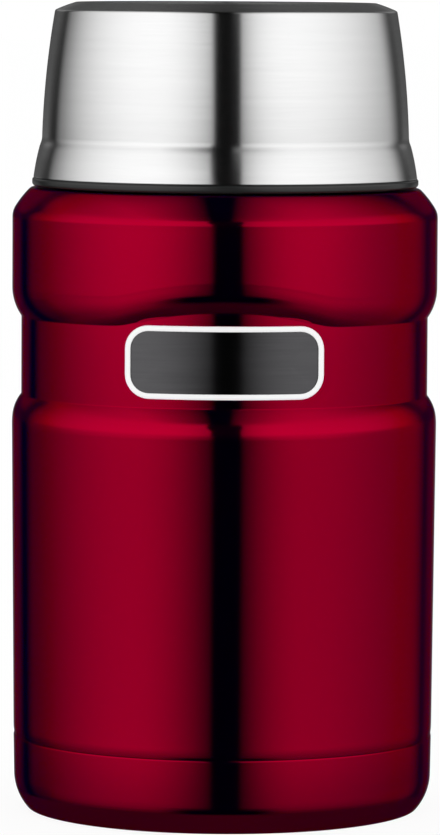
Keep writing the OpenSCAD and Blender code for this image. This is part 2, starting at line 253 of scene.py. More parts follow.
# One number worked out from two
def calc(material, operation, first, second):
    return addNode(material, "Math", {0: first, 1: second}, operation=operation).outputs[0]


# Object coordinates, scaled on each axis
def objectCoords(material, scale=(1, 1, 1)):
    coords = addNode(material, "TexCoord").outputs["Object"]
    return addNode(material, "Mapping", {"Vector": coords, "Scale": scale}).outputs[0]


# Coordinates for marks that run round the axis: slow along x and y, and fast across radius plus height
def ringCoords(material, along, across):
    parts = addNode(material, "SeparateXYZ", {0: objectCoords(material)})
    level = addNode(material, "CombineXYZ", {0: parts.outputs[0], 1: parts.outputs[1]}).outputs[0]
    radius = addNode(material, "VectorMath", {0: level}, operation="LENGTH").outputs["Value"]
    spread = calc(material, "MULTIPLY", calc(material, "ADD", radius, parts.outputs[2]), across)
    near = addNode(material, "VectorMath", {0: level, "Scale": along}, operation="SCALE")
    flat = addNode(material, "SeparateXYZ", {0: near.outputs[0]})
    return addNode(material, "CombineXYZ",
                   {0: flat.outputs[0], 1: flat.outputs[1], 2: spread}).outputs[0]


# Noise over the object, or over other coordinates
def noise(material, scale, detail, rough=0.5, vector=None):
    return addNode(material, "TexNoise",
                   {"Vector": vector or objectCoords(material), "Scale": scale,
                    "Detail": detail, "Roughness": rough}).outputs["Fac"]


# The noise turned into a number between two values
def between(material, factor, low, high, start=0.3, end=0.7):
    return addNode(material, "MapRange",
                   {"Value": factor, "From Min": start, "From Max": end,
                    "To Min": low, "To Max": high}).outputs[0]


# The noise as the base colour, between two colours
def tint(material, factor, first, second):
    share = between(material, factor, 0, 1)
    mix = addNode(material, "Mix", {"Factor": share, "A": (*first, 1), "B": (*second, 1)},
                  data_type="RGBA")
    link(material, [s for s in mix.outputs if s.type == "RGBA"][0], "Base Color")


def bump(material, height, strength, depth):
    node = addNode(material, "Bump",
                   {"Height": height, "Strength": strength, "Distance": depth * mm})
    link(material, node.outputs[0], "Normal")


lacquerLook = {
    "dark": (0.365, 0.0, 0.019), "light": (0.395, 0.0, 0.022), "grazing": (0.55, 0.0, 0.0, 1),
    "sheen": 0.024, "sheenRoughness": 0.7, "sheenColour": (0.0, 0.0, 1.0, 1),
    "roughness": (0.06, 0.08), "flakeScale": 9000, "rippleScale": 60,
}


# Red candy lacquer on steel: a metal seen through red, with a very fine flake, a faint ripple in its
# gloss and a trace of blue sheen at grazing angles
def redLacquer(k):
    material = makeMaterial("red_lacquer", Metallic=1.0, Roughness=0.07, Specular_Tint=k["grazing"],
                            Sheen_Weight=k["sheen"], Sheen_Roughness=k["sheenRoughness"],
                            Sheen_Tint=k["sheenColour"])
    flake = noise(material, k["flakeScale"], 2)
    ripple = noise(material, k["rippleScale"], 2)
    tint(material, flake, k["dark"], k["light"])
    link(material, between(material, ripple, *k["roughness"]), "Roughness")
    bump(material, flake, 0.03, 0.02)
    return material


# Steel brushed round the axis: long fine scratches in the colour, the roughness and the surface
def brushedSteel(name, colour, rough, stretch, strength, metal=1.0):
    material = makeMaterial(name, Metallic=metal, Anisotropic=stretch, Anisotropic_Rotation=0.25)
    tangent = addNode(material, "Tangent", direction_type="RADIAL", axis="Z")
    link(material, tangent.outputs[0], "Tangent")
    fine = noise(material, 1.0, 3, 0.7, ringCoords(material, 90, 9000))
    broad = noise(material, 1.0, 2, vector=ringCoords(material, 25, 900))
    tint(material, fine, [c * 0.97 for c in colour], colour)
    link(material, between(material, broad, *rough), "Roughness")
    bump(material, fine, strength, 0.01)
    return material


# Moulded plastic with a fine spark-eroded texture
def mouldedPlastic(name, colour, roughness, grain, strength):
    material = makeMaterial(name, Roughness=roughness)
    texture = noise(material, grain, 3, 0.6)
    cloud = noise(material, 120, 2)
    tint(material, cloud, [c * 0.9 for c in colour], [c * 1.1 for c in colour])
    link(material, between(material, texture, roughness - 0.05, roughness + 0.06), "Roughness")
    bump(material, texture, strength, 0.03)
    return material


lacquer = redLacquer(lacquerLook)
lidSteel = brushedSteel("lid_steel", (0.86, 0.86, 0.86), (0.18, 0.20), stretch=1.0, strength=0.03)
vesselSteel = brushedSteel("vessel_steel", (0.72, 0.71, 0.70), (0.24, 0.34), stretch=0.5, strength=0.2)
# The badge's silver rim as a near-white colour with little metal: a painted shine that stands in for its
# bright reflection
rimPaintedShine = brushedSteel("badge_rim", (1.0, 1.0, 1.0), (0.34, 0.42), stretch=0.0, strength=0.03,
                        metal=0.06)
ringPlastic = mouldedPlastic("ring_plastic", (0.015, 0.016, 0.016), 0.19, grain=2500, strength=0.05)
capPlastic = mouldedPlastic("stopper_plastic", (0.026, 0.026, 0.028), 0.48, grain=3000, strength=0.25)
linerPlastic = mouldedPlastic("liner_plastic", (0.024, 0.024, 0.026), 0.36, grain=2500, strength=0.12)
print("materials made")


# The outer shell. The arch over the badge turns about an axis that lies archBack behind the jar's
shell = {
    "sheet": 0.5, "seamRadius": 50.0, "seamReach": 3.0, "seamIn": 0.25, "bodyRadius": 50.6,
    "bodyTop": 93.6, "leadRound": 25.0, "leadAngle": 3.9, "edgeRound": 9.5,
    "waistRadius": 48.4, "waistTop": 117.628, "waistFillet": 0.2, "bandRound": 12.0,
    "bandRadius": 50.6, "bandTop": 141.254, "shoulderEdge": 4.5, "edgeEnd": 31.0,
    "shoulderRound": 22.0, "shoulderEnd": 45.0, "ledgeRound": 1.5, "neckRadius": 39.245, "rootRound": 1.2,
    "archHeight": 121.205, "archBack": 32.5, "archBlend": 0.7, "archFoot": 107.0, "archHead": 135.5,
    "archBelow": 1.0, "archAbove": 7.0, "crowd": 0.5,
    "threadDown": 10.4, "threadPitch": 5.6, "threadTurns": 1.35, "threadWidth": 3.2, "threadHeight": 0.8,
}


# The outline from the seam to the neck's top: a straight taper, rounded over to the waist by a large and
# a smaller radius, a large rounding up to the band, the two-radius shoulder, the ledge and the neck
def shellPath(s, seam, top):
    body, waist, bend, edge = s["bodyRadius"], s["waistRadius"], s["leadRound"], s["edgeRound"]
    lean = (body - s["seamRadius"]) / (s["bodyTop"] - seam)
    taper = np.linspace(0, s["seamReach"], 9)[:, None] * [lean, 1]
    lead = heading(s["leadAngle"])
    leadArc = arcPoints((body - bend, s["bodyTop"] - bend * lead[1]), bend, 0, s["leadAngle"], 5)
    centre = leadArc[-1] - edge * lead
    edgeAngle = turnOf(centre[0] + edge - waist, edge)
    lowerEdge = np.vstack([leadArc[:-1], arcPoints(centre, edge, s["leadAngle"], edgeAngle, 16)])
    bandAngle = turnOf(s["bandRadius"] - waist, s["bandRound"])
    centre = (s["bandRadius"] - s["bandRound"], s["waistTop"] + s["bandRound"] * heading(bandAngle)[1])
    bandArc = arcPoints(centre, s["bandRound"], -bandAngle, 0, 18)
    edge, large, small = s["shoulderEdge"], s["shoulderRound"], s["ledgeRound"]
    edgeEnd, end = s["edgeEnd"], s["shoulderEnd"]
    centre = np.array([s["bandRadius"] - edge, s["bandTop"]])
    edgeArc = arcPoints(centre, edge, 0, edgeEnd, 9)
    centre = centre - (large - edge) * heading(edgeEnd)
    roundArc = arcPoints(centre, large, edgeEnd, end, 9)[1:]
    centre = centre + (large - small) * heading(end)
    ledgeArc = arcPoints(centre, small, end, 90, 7)[1:]
    return rounded(
        corners(taper + [s["seamRadius"], seam])
        + corners(lowerEdge[:-1]) + [(*lowerEdge[-1], s["waistFillet"])]
        + [(*bandArc[0], s["waistFillet"])] + corners(bandArc[1:])
        + corners(edgeArc) + corners(roundArc) + corners(ledgeArc)
        + [(s["neckRadius"], centre[1] + small, s["rootRound"]), (s["neckRadius"], top, 0)])


# How far the band's lower edge rises over the badge: the arch's wall is part of a cone round an axis
# behind the jar's, so the rise falls off as the waist draws nearer to that axis. It blends to nothing by
# half of a + sqrt(a² + blend²)
def archRise(s, angle):
    waist, back = s["waistRadius"], s["archBack"]
    slope = math.radians(turnOf(s["bandRadius"] - waist, s["bandRound"]))
    reach = np.hypot(waist * np.sin(angle), waist * np.cos(angle) + back)
    rise = s["archHeight"] - s["waistTop"] - (waist + back - reach) / math.tan(slope)
    return (rise + np.sqrt(rise * rise + s["archBlend"] ** 2)) / 2


# The sheet turned about the axis. Its lower edge draws in by the cube of the nearness to the seam, the
# neck carries a thread, and the rows from archFoot to archHead rise with the arch
def buildShell(s):
    low, high = nodeBox("outer_shell")
    threadLow = high[2] - s["threadDown"]
    path = refinedNeck(refined(shellPath(s, low[2], high[2])), threadLow)
    loop = np.vstack([path, offset(path, s["sheet"])[::-1]])
    radius, height, angle = turned(loop, crowd=s["crowd"])
    outside = (np.arange(len(loop)) < len(path))[:, None]
    onNeck = outside & (loop[:, :1] < s["neckRadius"] + 0.01)
    turnedIn = s["seamIn"] * np.clip(1 - (height - low[2]) / s["seamReach"], 0, 1) ** 3 * outside
    radius = radius + thread(height, angle, threadLow, s) * onNeck - turnedIn
    below = (height - s["archFoot"]) / (s["waistTop"] - s["archBelow"] - s["archFoot"])
    stretch = np.clip(below, 0, 1) * (1 - ease(height, s["waistTop"] + s["archAbove"], s["archHead"]))
    height = height + archRise(s, angle) * stretch
    makePiece("jar_outer_shell", [(aroundAxis(radius, height, angle), True)],
              "jar", ["outer_shell"], [lacquer])


buildShell(shell)

# The base cap: a dimple in a recessed bottom, a flat ring to stand on, and the side up to the seam
cap = {
    "sheet": 0.5, "hole": 1.2, "dimple": 9.0, "dimpleHeight": 1.4, "dimpleRound": 1.0, "dimpleFoot": 0.8,
    "recess": 3.0, "recessRound": 1.6, "footInner": 43.88, "innerRound": 0.7, "footFlat": 46.18,
    "footEdge": 0.8, "footRound": 12.5, "footAngle": 41.0, "side": 49.85, "sideLow": 8.476,
    "seamRadius": 50.0, "seamTop": 17.67, "seamEdge": 0.4, "lap": 49.45, "lapRound": 0.1,
}


# The outline from the hole in the dimple over the recess, the foot's flat ring and its large rounding to
# the seam, and the edge that laps inside the shell
def buildCap(c):
    top = nodeBox("base_cap")[1][2]
    recess, inner = c["recess"], c["footInner"]
    dome = recess + c["dimpleHeight"]
    bend, edge, turn = c["footRound"], c["footEdge"], c["footAngle"]
    footArc = arcPoints((c["side"] - bend, c["sideLow"]), bend, -turn, 0, 14)
    flatArc = arcPoints((c["footFlat"], edge), edge, -90, -turn, 6)
    path = refined(rounded(
        [(c["hole"], dome, 0), (c["dimple"] - c["dimpleHeight"], dome, c["dimpleRound"]),
         (c["dimple"], recess, c["dimpleFoot"]), (inner - recess, recess, c["recessRound"]),
         (inner, 0, c["innerRound"])]
        + corners(flatArc) + corners(footArc)
        + [(c["seamRadius"], c["seamTop"], c["seamEdge"]), (c["lap"], c["seamTop"], c["lapRound"]),
           (c["lap"], top, 0)]))
    loop = np.vstack([path, offset(path, c["sheet"])[::-1]])
    makePiece("jar_base_cap", [(aroundAxis(*turned(loop)), True)],
              "jar", ["base_cap"], [lacquer])


buildCap(cap)

# The inner vessel, with two opposite bends between its wall and its neck
vessel = {
    "sheet": 0.5, "radius": 43.3, "bottomRound": 12.0, "shoulderLow": 134.824, "bend": 7.0,
    "bendAngle": 51.866, "neckFoot": 145.836, "neck": 37.945, "lipRound": 0.5,
    "threadDown": 11.0, "threadPitch": 5.6, "threadTurns": 1.3, "threadWidth": 3.0, "threadHeight": 0.65,
}


# The vacuum side from the bottom's middle to the lip, and back down the food side. The mouth has the
# stopper's thread rolled into it
def buildVessel(v):
    low, high = nodeBox("inner_vessel")
    top = high[2] - v["sheet"]
    bottom, bend, turn, lip = v["bottomRound"], v["bend"], v["bendAngle"], v["lipRound"]
    path = np.vstack([
        [(0, low[2])], arcPoints((v["radius"] - bottom, low[2] + bottom), bottom, -90, 0, 14),
        arcPoints((v["radius"] - bend, v["shoulderLow"]), bend, 0, turn, 9),
        arcPoints((v["neck"] + bend, v["neckFoot"]), bend, 180 + turn, 180, 9),
        arcPoints((v["neck"] + lip, top - lip), lip, 180, 90, 6), [(high[0], top)]])
    threadLow = high[2] - v["threadDown"]
    path = refinedNeck(refined(path, 3), threadLow)
    loop = np.vstack([path, offset(path, v["sheet"])[::-1]])
    loop[:, 0] = np.maximum(loop[:, 0], 0)
    radius, height, angle = turned(loop)
    foodSide = np.arange(len(loop)) >= len(path)
    onNeck = foodSide & (np.abs(loop[:, 0] - v["neck"] + v["sheet"]) < 0.02)
    radius = radius - thread(height, angle, threadLow, v) * onNeck[:, None]
    makePiece("jar_inner_vessel", [(aroundAxis(radius, height, angle), False)],
              "jar", ["inner_vessel"], [vesselSteel])


buildVessel(vessel)

# The badge: a rim with a painted bright shine round a field that lies a step deeper
badge = {
    "corner": 5.5, "leastCorner": 0.4, "backIn": 1.0, "edge": 0.18, "rim": 1.3, "step": 0.3,
    "fieldIn": 0.3, "cornerPoints": 10, "sidePoints": 40,
}


# A rounded oblong's outline, drawn in by a distance, with the same number of points at every distance
def oblong(halfWidth, halfHeight, inwards, b):
    w, h = halfWidth - inwards, max(halfHeight - inwards, 0)
    r = min(max(b["corner"] - inwards, b["leastCorner"]), w, h)
    quarter = [arcPoints((x * (w - r), z * (h - r)), r, start, start + 90, b["cornerPoints"])
               for x, z, start in ((1, 1, 0), (-1, 1, 90), (-1, -1, 180), (1, -1, 270))]
    share = np.linspace(0, 1, b["sidePoints"])[1:-1, None]
    sides = [quarter[i][-1] + (quarter[(i + 1) % 4][0] - quarter[i][-1]) * share for i in range(4)]
    return np.vstack([part for pair in zip(quarter, sides) for part in pair])


# The plate bent round the waist: each ring is the outline drawn in by a distance, at a radius from the
# jar's axis. They run from the back's middle line over the bright rim to the field's
def buildBadge(b, fieldMaterial):
    low, high = nodeBox("badge_plate")
    outer, inner = -low[1], -nodeBox("badge_pad")[0][1]
    middle = (low[2] + high[2]) / 2
    halfWidth, halfHeight = high[0], (high[2] - low[2]) / 2
    back, e, rim, deep = b["backIn"], b["edge"], b["rim"], outer - b["step"]
    rings = [(back + (halfHeight - back) * t, inner) for t in (1.0, 0.5)]
    rings += [(back, inner), (0.0, inner), (0.0, outer - e), (e * 0.3, outer - e * 0.3), (e, outer),
              (rim - e, outer), (rim - e * 0.3, outer - e * 0.3), (rim, outer - e), (rim, deep)]
    rings += [(rim + b["fieldIn"] + (halfHeight - rim - b["fieldIn"]) * t, deep)
              for t in (0, 0.25, 0.5, 0.75, 1.0)]
    grid = []
    for inwards, radius in rings:
        x, z = oblong(halfWidth, halfHeight, inwards, b).T
        grid.append(np.column_stack([x, -np.sqrt(radius ** 2 - x ** 2), z + middle]))
    mesh = makePiece("badge_plate_bare", [(np.array(grid), False)], "jar", ["badge_plate"],
                     [rimPaintedShine, fieldMaterial], sharp=50, merge=0.01).data
    centre = np.zeros(len(mesh.polygons) * 3)
    mesh.polygons.foreach_get("center", centre)
    centre = centre.reshape(-1, 3) / mm
    depth = np.hypot(centre[:, 0], centre[:, 1])
    fromEdge = np.minimum(halfWidth - np.abs(centre[:, 0]), halfHeight - np.abs(centre[:, 2] - middle))
    field = (np.abs(depth - outer + b["step"]) < 0.06) & (fromEdge > rim - 0.1)
    mesh.polygons.foreach_set("material_index", field.astype(np.int32))


# Dark polished metal with a fine grain along the plate
def badgeField():
    material = makeMaterial("badge_field", Metallic=1.0, Roughness=0.13)
    grain = noise(material, 1.0, 3, 0.6, objectCoords(material, (60, 60, 3000)))
    tint(material, grain, (0.105, 0.103, 0.108), (0.120, 0.118, 0.123))
    link(material, between(material, grain, 0.11, 0.15), "Roughness")
    bump(material, grain, 0.02, 0.01)
    return material


buildBadge(badge, badgeField())

# The stopper's cup. Heights that end in Up are above its floor
plug = {
    "radius": 36.345, "wall": 1.8, "floorEdge": 1.2, "domeInner": 24, "domeOuter": 26, "domeRise": 0.8,
    "domeRound": 1.5, "grooveUp": 2.4, "grooveHeight": 3.5, "groove": 2.0, "grooveEdge": 0.25,
    "grooveRound": 0.2, "flangeUp": 18.7, "flangeRoot": 0.5, "flangeEdge": 0.6, "flange": 38.645,
    "threadUp": 11.2, "threadPitch": 5.6, "threadTurns": 1.05, "threadWidth": 2.6, "threadHeight": 0.65,
}


# A cup with a gasket groove low down and a flange over the lip. The floor is pressed up in the middle,
# and a thread runs once round between groove and flange
def buildPlug(p):
    low, high = nodeBox("stopper_plug")
    floor, top, r, wall = low[2], high[2], p["radius"], p["wall"]
    rise, bend, edge, root = p["domeRise"], p["domeRound"], p["grooveEdge"], p["grooveRound"]
    grooveLow, flangeLow = floor + p["grooveUp"], floor + p["flangeUp"]
    grooveTop, groove = grooveLow + p["grooveHeight"], r - p["groove"]
    outside = rounded([
        (0, floor + rise, 0), (p["domeInner"], floor + rise, bend), (p["domeOuter"], floor, bend),
        (r, floor, p["floorEdge"]), (r, grooveLow, edge), (groove, grooveLow, root),
        (groove, grooveTop, root), (r, grooveTop, edge), (r, flangeLow, p["flangeRoot"]),
        (p["flange"], flangeLow, p["flangeEdge"]), (p["flange"], top, 0)])
    inside = rounded([
        (p["flange"], top, 0), (r - wall, top, 0), (r - wall, grooveTop + wall, 0),
        (groove - wall, grooveTop + wall, 0), (groove - wall, floor + wall, 0.8),
        (p["domeOuter"], floor + wall, bend), (p["domeInner"], floor + wall + rise, bend),
        (0, floor + wall + rise, 0)])
    threadRows = (outside[:, 1] > grooveTop + 0.2) & (outside[:, 0] < r + 0.3)
    first, last = np.flatnonzero(threadRows)[[0, -1]]
    outside = np.vstack([refined(outside[:first]), refined(outside[first - 1:last + 1], threadStep)[1:],
                         refined(outside[last:])[1:]])
    loop = np.vstack([outside, refined(inside, 4)[1:]])
    radius, height, angle = turned(loop, 224)
    onWall = (np.abs(loop[:, 0] - r) < 0.02)[:, None]
    radius = radius + thread(height, angle, floor + p["threadUp"], p) * onWall
    makePiece("stopper_plug_body", [(aroundAxis(radius, height, angle), False)],
              "stopper", ["stopper_plug"], [capPlastic])


buildPlug(plug)

# The stopper's top, with a finger well and a ribbed grip bar. Sizes that end in Down are below its top
capTop = {
    "radius": 38.645, "rimDown": 3.1, "rimEdge": 1.2, "rimFoot": 0.15, "skirtEdge": 1.5, "skirtRoot": 0.3,
    "well": 32.445, "wellEdge": 1.0, "wellDown": 10.5, "wellRound": 2.5, "wall": 1.8,
    "barHalf": 4.8, "barLean": 0.25, "barFlare": 1.2, "barRound": 2.0, "barFoot": 1.4, "barSunk": 0.8,
    "barCrown": 0.02, "barRows": 61, "ribDepth": 0.16, "ribPitch": 3.2, "ribReach": 12,
}


# The finger well as a turned outline, and the grip bar across it: its section is a rounded oblong with
# hollow feet, its half width grows with the square of the distance from the middle, and a cosine ribs it
def buildStopperCap(c):
    low, high = nodeBox("stopper_cap")
    top, under, skirt = high[2], low[2], c["well"] + c["wall"]
    rimLow, floor = top - c["rimDown"], top - c["wellDown"]
    body = rounded([
        (0, under, 0), (skirt, under, c["skirtEdge"]), (skirt, rimLow, c["skirtRoot"]),
        (c["radius"], rimLow, c["rimFoot"]), (c["radius"], top, c["rimEdge"]),
        (c["well"], top, c["wellEdge"]), (c["well"], floor, c["wellRound"]), (0, floor, 0)])
    half, foot, sunk = c["barHalf"], c["barFoot"], floor - c["barSunk"]
    right = refined(rounded([
        (0, sunk, 0), (half + foot, sunk, 0), (half + foot, floor, 0), (half, floor, foot * 0.95),
        (half - c["barLean"], top, c["barRound"]), (0, top + c["barCrown"], 0)]), 1.2)
    section = np.vstack([right, (right * [-1, 1])[::-1][1:-1]])
    reach = c["well"] + c["barSunk"]
    x = (np.sin(np.linspace(-np.pi / 2, np.pi / 2, c["barRows"])) * reach)[:, None]
    side, up = np.sign(section[:, 0])[None], section[:, 1]
    y = section[None, :, 0] + side * c["barFlare"] * (x / reach) ** 2
    ribs = c["ribDepth"] * np.cos(x * 2 * np.pi / c["ribPitch"]) * ease(c["ribReach"] - np.abs(x), 0, 3)
    ribs = ribs * ease(up, floor + 2, floor + 3.5) * ease(top - up, 1.8, 3.2)
    y = y + side * ribs * (np.abs(section[:, 0]) > half - 0.6)
    z = np.broadcast_to(section[None, :, 1], y.shape)
    bar = np.stack([np.broadcast_to(x, y.shape), y, z], axis=-1)
    ends = [np.broadcast_to(bar[i].mean(axis=0), bar[i].shape) for i in (0, -1)]
    bar = np.concatenate([ends[0][None], bar, ends[1][None]])
    makePiece("stopper_grip_cap", [(aroundAxis(*turned(refined(body, 2.5), 192)), False), (bar, False)],
              "stopper", ["stopper_cap"], [capPlastic], sharp=45)


buildStopperCap(capTop)

gasket = {"back": 34.395, "backRound": 0.3, "lip": 0.85, "height": 3.4}


# Translucent silicone, slightly cloudy
def siliconeMaterial():
    material = makeMaterial("silicone", Roughness=0.42, Subsurface_Weight=0.4, Subsurface_Scale=0.002)
    tint(material, noise(material, 150, 3), (0.66, 0.66, 0.63), (0.74, 0.74, 0.71))
    bump(material, noise(material, 2600, 2), 0.1, 0.02)
    return material


# The silicone ring: a flat back in the groove and two soft round lips
def buildGasket(g):
    (_, _, low), (reach, _, _) = nodeBox("stopper_gasket")
    r, h, back, corner = g["lip"], g["height"], g["back"], g["backRound"]
    loop = np.vstack([
        rounded([(back, low + h / 2, 0), (back, low, corner), (reach - r, low, 0)]),
        arcPoints((reach - r, low + r), r, -80, 62, 10),
        arcPoints((reach - r, low + h - r), r, -62, 80, 10),
        rounded([(reach - r, low + h, 0), (back, low + h, corner), (back, low + h / 2 + 0.05, 0)])])
    makePiece("stopper_gasket_ring", [(aroundAxis(*turned(refined(loop, 1.0), 192)), True)],
              "stopper", ["stopper_gasket"], [siliconeMaterial()])


buildGasket(gasket)

# The lid's steel. Pairs are radius and height above its lower edge
bowl = {
    "sheet": 0.6, "edge": 45.645, "hem": 0.28, "skirtTop": (44.145, 7.6), "skirtBow": 0.14,
    "skirtRound": 9.5, "wallFoot": (43.645, 8.9), "stepRound": 4.2, "wallTop": (40.62, 39.7),
    "wallBow": 0.55, "topCorner": 0.7, "topEdge": (35.6, 41.6), "topRound": 1.0, "topBow": 0.1,
}


# The steel from its hem up the bowed skirt, over the small soft step, up the bowed wall, over the sloping
# edge and across the flat top, and back inside at the sheet's thickness
def buildBowl(b):
    low, high = nodeBox("bowl_shell")
    skirtTop, wallFoot, wallTop, topEdge = [
        np.array(b[name]) + (0, low[2]) for name in ("skirtTop", "wallFoot", "wallTop", "topEdge")]
    skirt = bow((b["edge"], low[2]), skirtTop, b["skirtBow"], 9)
    wall = bow(wallFoot, wallTop, b["wallBow"], 25)
    slope = bow(wallTop, topEdge, b["topBow"], 6)
    path = refined(rounded(
        corners(skirt[:-1]) + [(*skirt[-1], b["skirtRound"]), (*wall[0], b["stepRound"])]
        + corners(wall[1:-1]) + [(*wall[-1], b["topCorner"])]
        + corners(slope[1:-1]) + [(*slope[-1], b["topRound"]), (0, high[2], 0)]), 2)
    inner = offset(path, b["sheet"])
    inner[-1, 0] = 0
    hem = arcPoints((b["edge"] - b["hem"], low[2] + b["hem"]), b["hem"], -90, -5, 6)
    loop = np.vstack([hem, path[1:], inner[::-1]])
    makePiece("lid_steel_bowl", [(aroundAxis(*turned(loop)), True)],
              "bowl_lid", ["bowl_shell"], [lidSteel])


buildBowl(bowl)

# The lid's liner. Heights that end in Up are above its lower edge
liner = {
    "wall": 1.6, "radius": 42.045, "flange": 43.645, "flangeRoot": 0.5, "edge": 0.3, "bendUp": 14.65,
    "bendRound": 3.0, "draw": 3.0, "drawLess": 0.25, "corner": 4.0, "cornerLess": 1.0,
    "threadUp": 2.0, "threadPitch": 5.6, "threadTurns": 1.2, "threadWidth": 2.8, "threadHeight": 0.75,
}


# The air side from the flange to the floor's middle, and back down the bowl's inside with its thread
def buildLiner(n):
    low, high = nodeBox("bowl_liner")
    foot, top, bend, wall, r = low[2], high[2], low[2] + n["bendUp"], n["wall"], n["radius"]
    outside = rounded([
        (n["flange"], foot, 0), (n["flange"], foot + wall, n["edge"]), (r, foot + wall, n["flangeRoot"]),
        (r, bend, n["bendRound"]), (r - n["draw"], top, n["corner"]), (0, top, 0)])
    inside = rounded([
        (0, top - wall, 0),
        (r - n["draw"] - wall + n["drawLess"], top - wall, n["corner"] - n["cornerLess"]),
        (r - wall, bend, n["bendRound"]), (r - wall, foot, n["edge"]),
        (n["flange"] - n["edge"], foot, 0)])
    threadRows = (inside[:, 0] > r - wall - 0.02) & (inside[:, 1] < bend)
    first = np.argmax(threadRows)
    inside = np.vstack([refined(inside[:first]), refined(inside[first - 1:], threadStep)[1:]])
    loop = np.vstack([refined(outside), inside])
    radius, height, angle = turned(loop, 224)
    onWall = (np.arange(len(loop)) >= len(loop) - len(inside)) & (np.abs(loop[:, 0] - r + wall) < 0.02)
    radius = radius - thread(height, angle, foot + n["threadUp"], n) * onWall[:, None]
    makePiece("lid_bowl_liner", [(aroundAxis(radius, height, angle), True)],
              "bowl_lid", ["bowl_liner"], [linerPlastic])


buildLiner(liner)

# The black ring under the lid
ring = {
    "inner": 41.045, "webUp": 1.05, "bead": 45.945, "beadUp": 1.98, "beadLow": 0.85, "beadRound": 0.55,
    "tongue": 44.9, "tongueHigh": 44.37, "flange": 43.745,
}


# The ring's section: a flat web under the flange, a rounded bead outside, and a tongue behind the steel
def buildRing(g):
    low, high = nodeBox("rim_ring")
    web, beadTop = low[2] + g["webUp"], low[2] + g["beadUp"]
    loop = rounded([
        (g["inner"], web, 0), (g["inner"], low[2], 0.3), (g["bead"], low[2], g["beadLow"]),
        (g["bead"], beadTop, g["beadRound"]), (g["tongue"], beadTop, 0.1),
        (g["tongueHigh"], high[2], 0.2), (g["flange"], high[2], 0.15), (g["flange"], web, 0),
        (g["inner"] + 0.05, web, 0)])
    makePiece("lid_rim_ring", [(aroundAxis(*turned(refined(loop, 1.5))), True)],
              "bowl_lid", ["rim_ring"], [ringPlastic])


buildRing(ring)


# A finish for a CAD node that stays
def repaint(node, material):
    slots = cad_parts[node].data.materials
    slots.clear()
    slots.append(material)


# Crinkled bright foil: a cell pattern for the creases and noise for its shade
def foilMaterial():
    material = makeMaterial("radiation_foil_metal", Metallic=1.0, Roughness=0.22)
    cells = addNode(material, "TexVoronoi", {"Vector": objectCoords(material), "Scale": 140.0},
                    feature="DISTANCE_TO_EDGE")
    tint(material, noise(material, 80, 3), (0.74, 0.74, 0.76), (0.86, 0.86, 0.88))
    bump(material, cells.outputs["Distance"], 0.5, 0.3)
    return material


# A dull mineral surface with pores: pressed powder, fused glass or foam
def porousMaterial(name, dark, light, roughness, grain, strength):
    material = makeMaterial(name, Roughness=roughness)
    pores = noise(material, grain, 4, 0.65)
    tint(material, pores, dark, light)
    link(material, between(material, pores, roughness - 0.08, roughness + 0.08), "Roughness")
    bump(material, pores, strength, 0.1)
    return material


# For each node its finish's name, dark and light colour, roughness, grain and strength
porousLooks = {
    "getter_pellet": ("getter_powder", (0.18, 0.18, 0.19), (0.30, 0.30, 0.31), 0.8, 1800, 0.5),
    "vacuum_seal": ("seal_glass", (0.10, 0.095, 0.09), (0.19, 0.18, 0.17), 0.3, 900, 0.2),
    "badge_pad": ("foam_tape", (0.015, 0.015, 0.015), (0.04, 0.04, 0.04), 0.85, 1500, 0.6),
    "stopper_foam": ("rigid_foam", (0.62, 0.55, 0.33), (0.80, 0.74, 0.52), 0.9, 700, 0.8),
}
repaint("radiation_foil", foilMaterial())
repaint("getter_holder", vesselSteel)
for node, look in porousLooks.items():
    repaint(node, porousMaterial(*look))
print("finishes set")


# A level that comes in between two angles
def comingIn(value, level, low, high):
    return level * ease(value, low, high)


# The panels that upright walls see, in degrees from the front: where each is brightest, its widths near
# the front and far from it, and its soft edges. Below the horizon they dim by the shares named Dim
walls = {
    "lower": (3.0, 4.4),
    "leftPeak": 50, "leftNear": 48.6, "leftNarrow": 0.45, "leftFar": 60, "leftLevel": 0.98,
    "leftDim": 0.21, "leftGap": (4.3, 8.3), "leftEnd": (127, 138),
    "rightPeak": 45, "rightNear": 38, "rightNarrow": 0.3, "rightFar": 36.5, "farSpread": 8,
    "rightLevel": 0.905, "rightDim": 0.23, "bell": 0.51, "bellDim": 0.40, "plain": 0.40, "plainDim": 0.08,
    "rightGap": (7.8, 11.2), "rightEnd": (124, 146),
}


# The studio seen by upright walls: a broad soft panel on each side of a dark gap at the front. Near the
# gap a panel is 1 - (distance / width)², and on its far side a bell exp(-(distance / width)²)
def wallLevel(a, down, w):
    dim = ease(down, *w["lower"])
    fromLeft, fromRight = a + w["leftPeak"], a - w["rightPeak"]
    left = np.where(fromLeft < 0, np.exp(-(fromLeft / w["leftFar"]) ** 2),
                    np.clip(1 - (fromLeft / w["leftNear"]) ** 2, 0, 1) ** (1 + w["leftNarrow"] * dim))
    left = (left * w["leftLevel"] * (1 - w["leftDim"] * dim)
            * ease(-a, *w["leftGap"]) * (1 - ease(-a, *w["leftEnd"])))
    bell = (1 - w["bellDim"] * dim) * np.exp(-(fromRight / (w["rightFar"] + w["farSpread"] * dim)) ** 2)
    near = np.clip(1 - (fromRight / w["rightNear"]) ** 2, 0, 1) ** (1 + w["rightNarrow"] * dim)
    right = np.where(fromRight > 0, w["bell"] * bell + w["plain"] * (1 - w["plainDim"] * dim),
                     (w["rightLevel"] - w["rightDim"] * dim) * near)
    right = right * ease(a, *w["rightGap"]) * (1 - ease(a, *w["rightEnd"]))
    return np.where(a < 0, left, right)


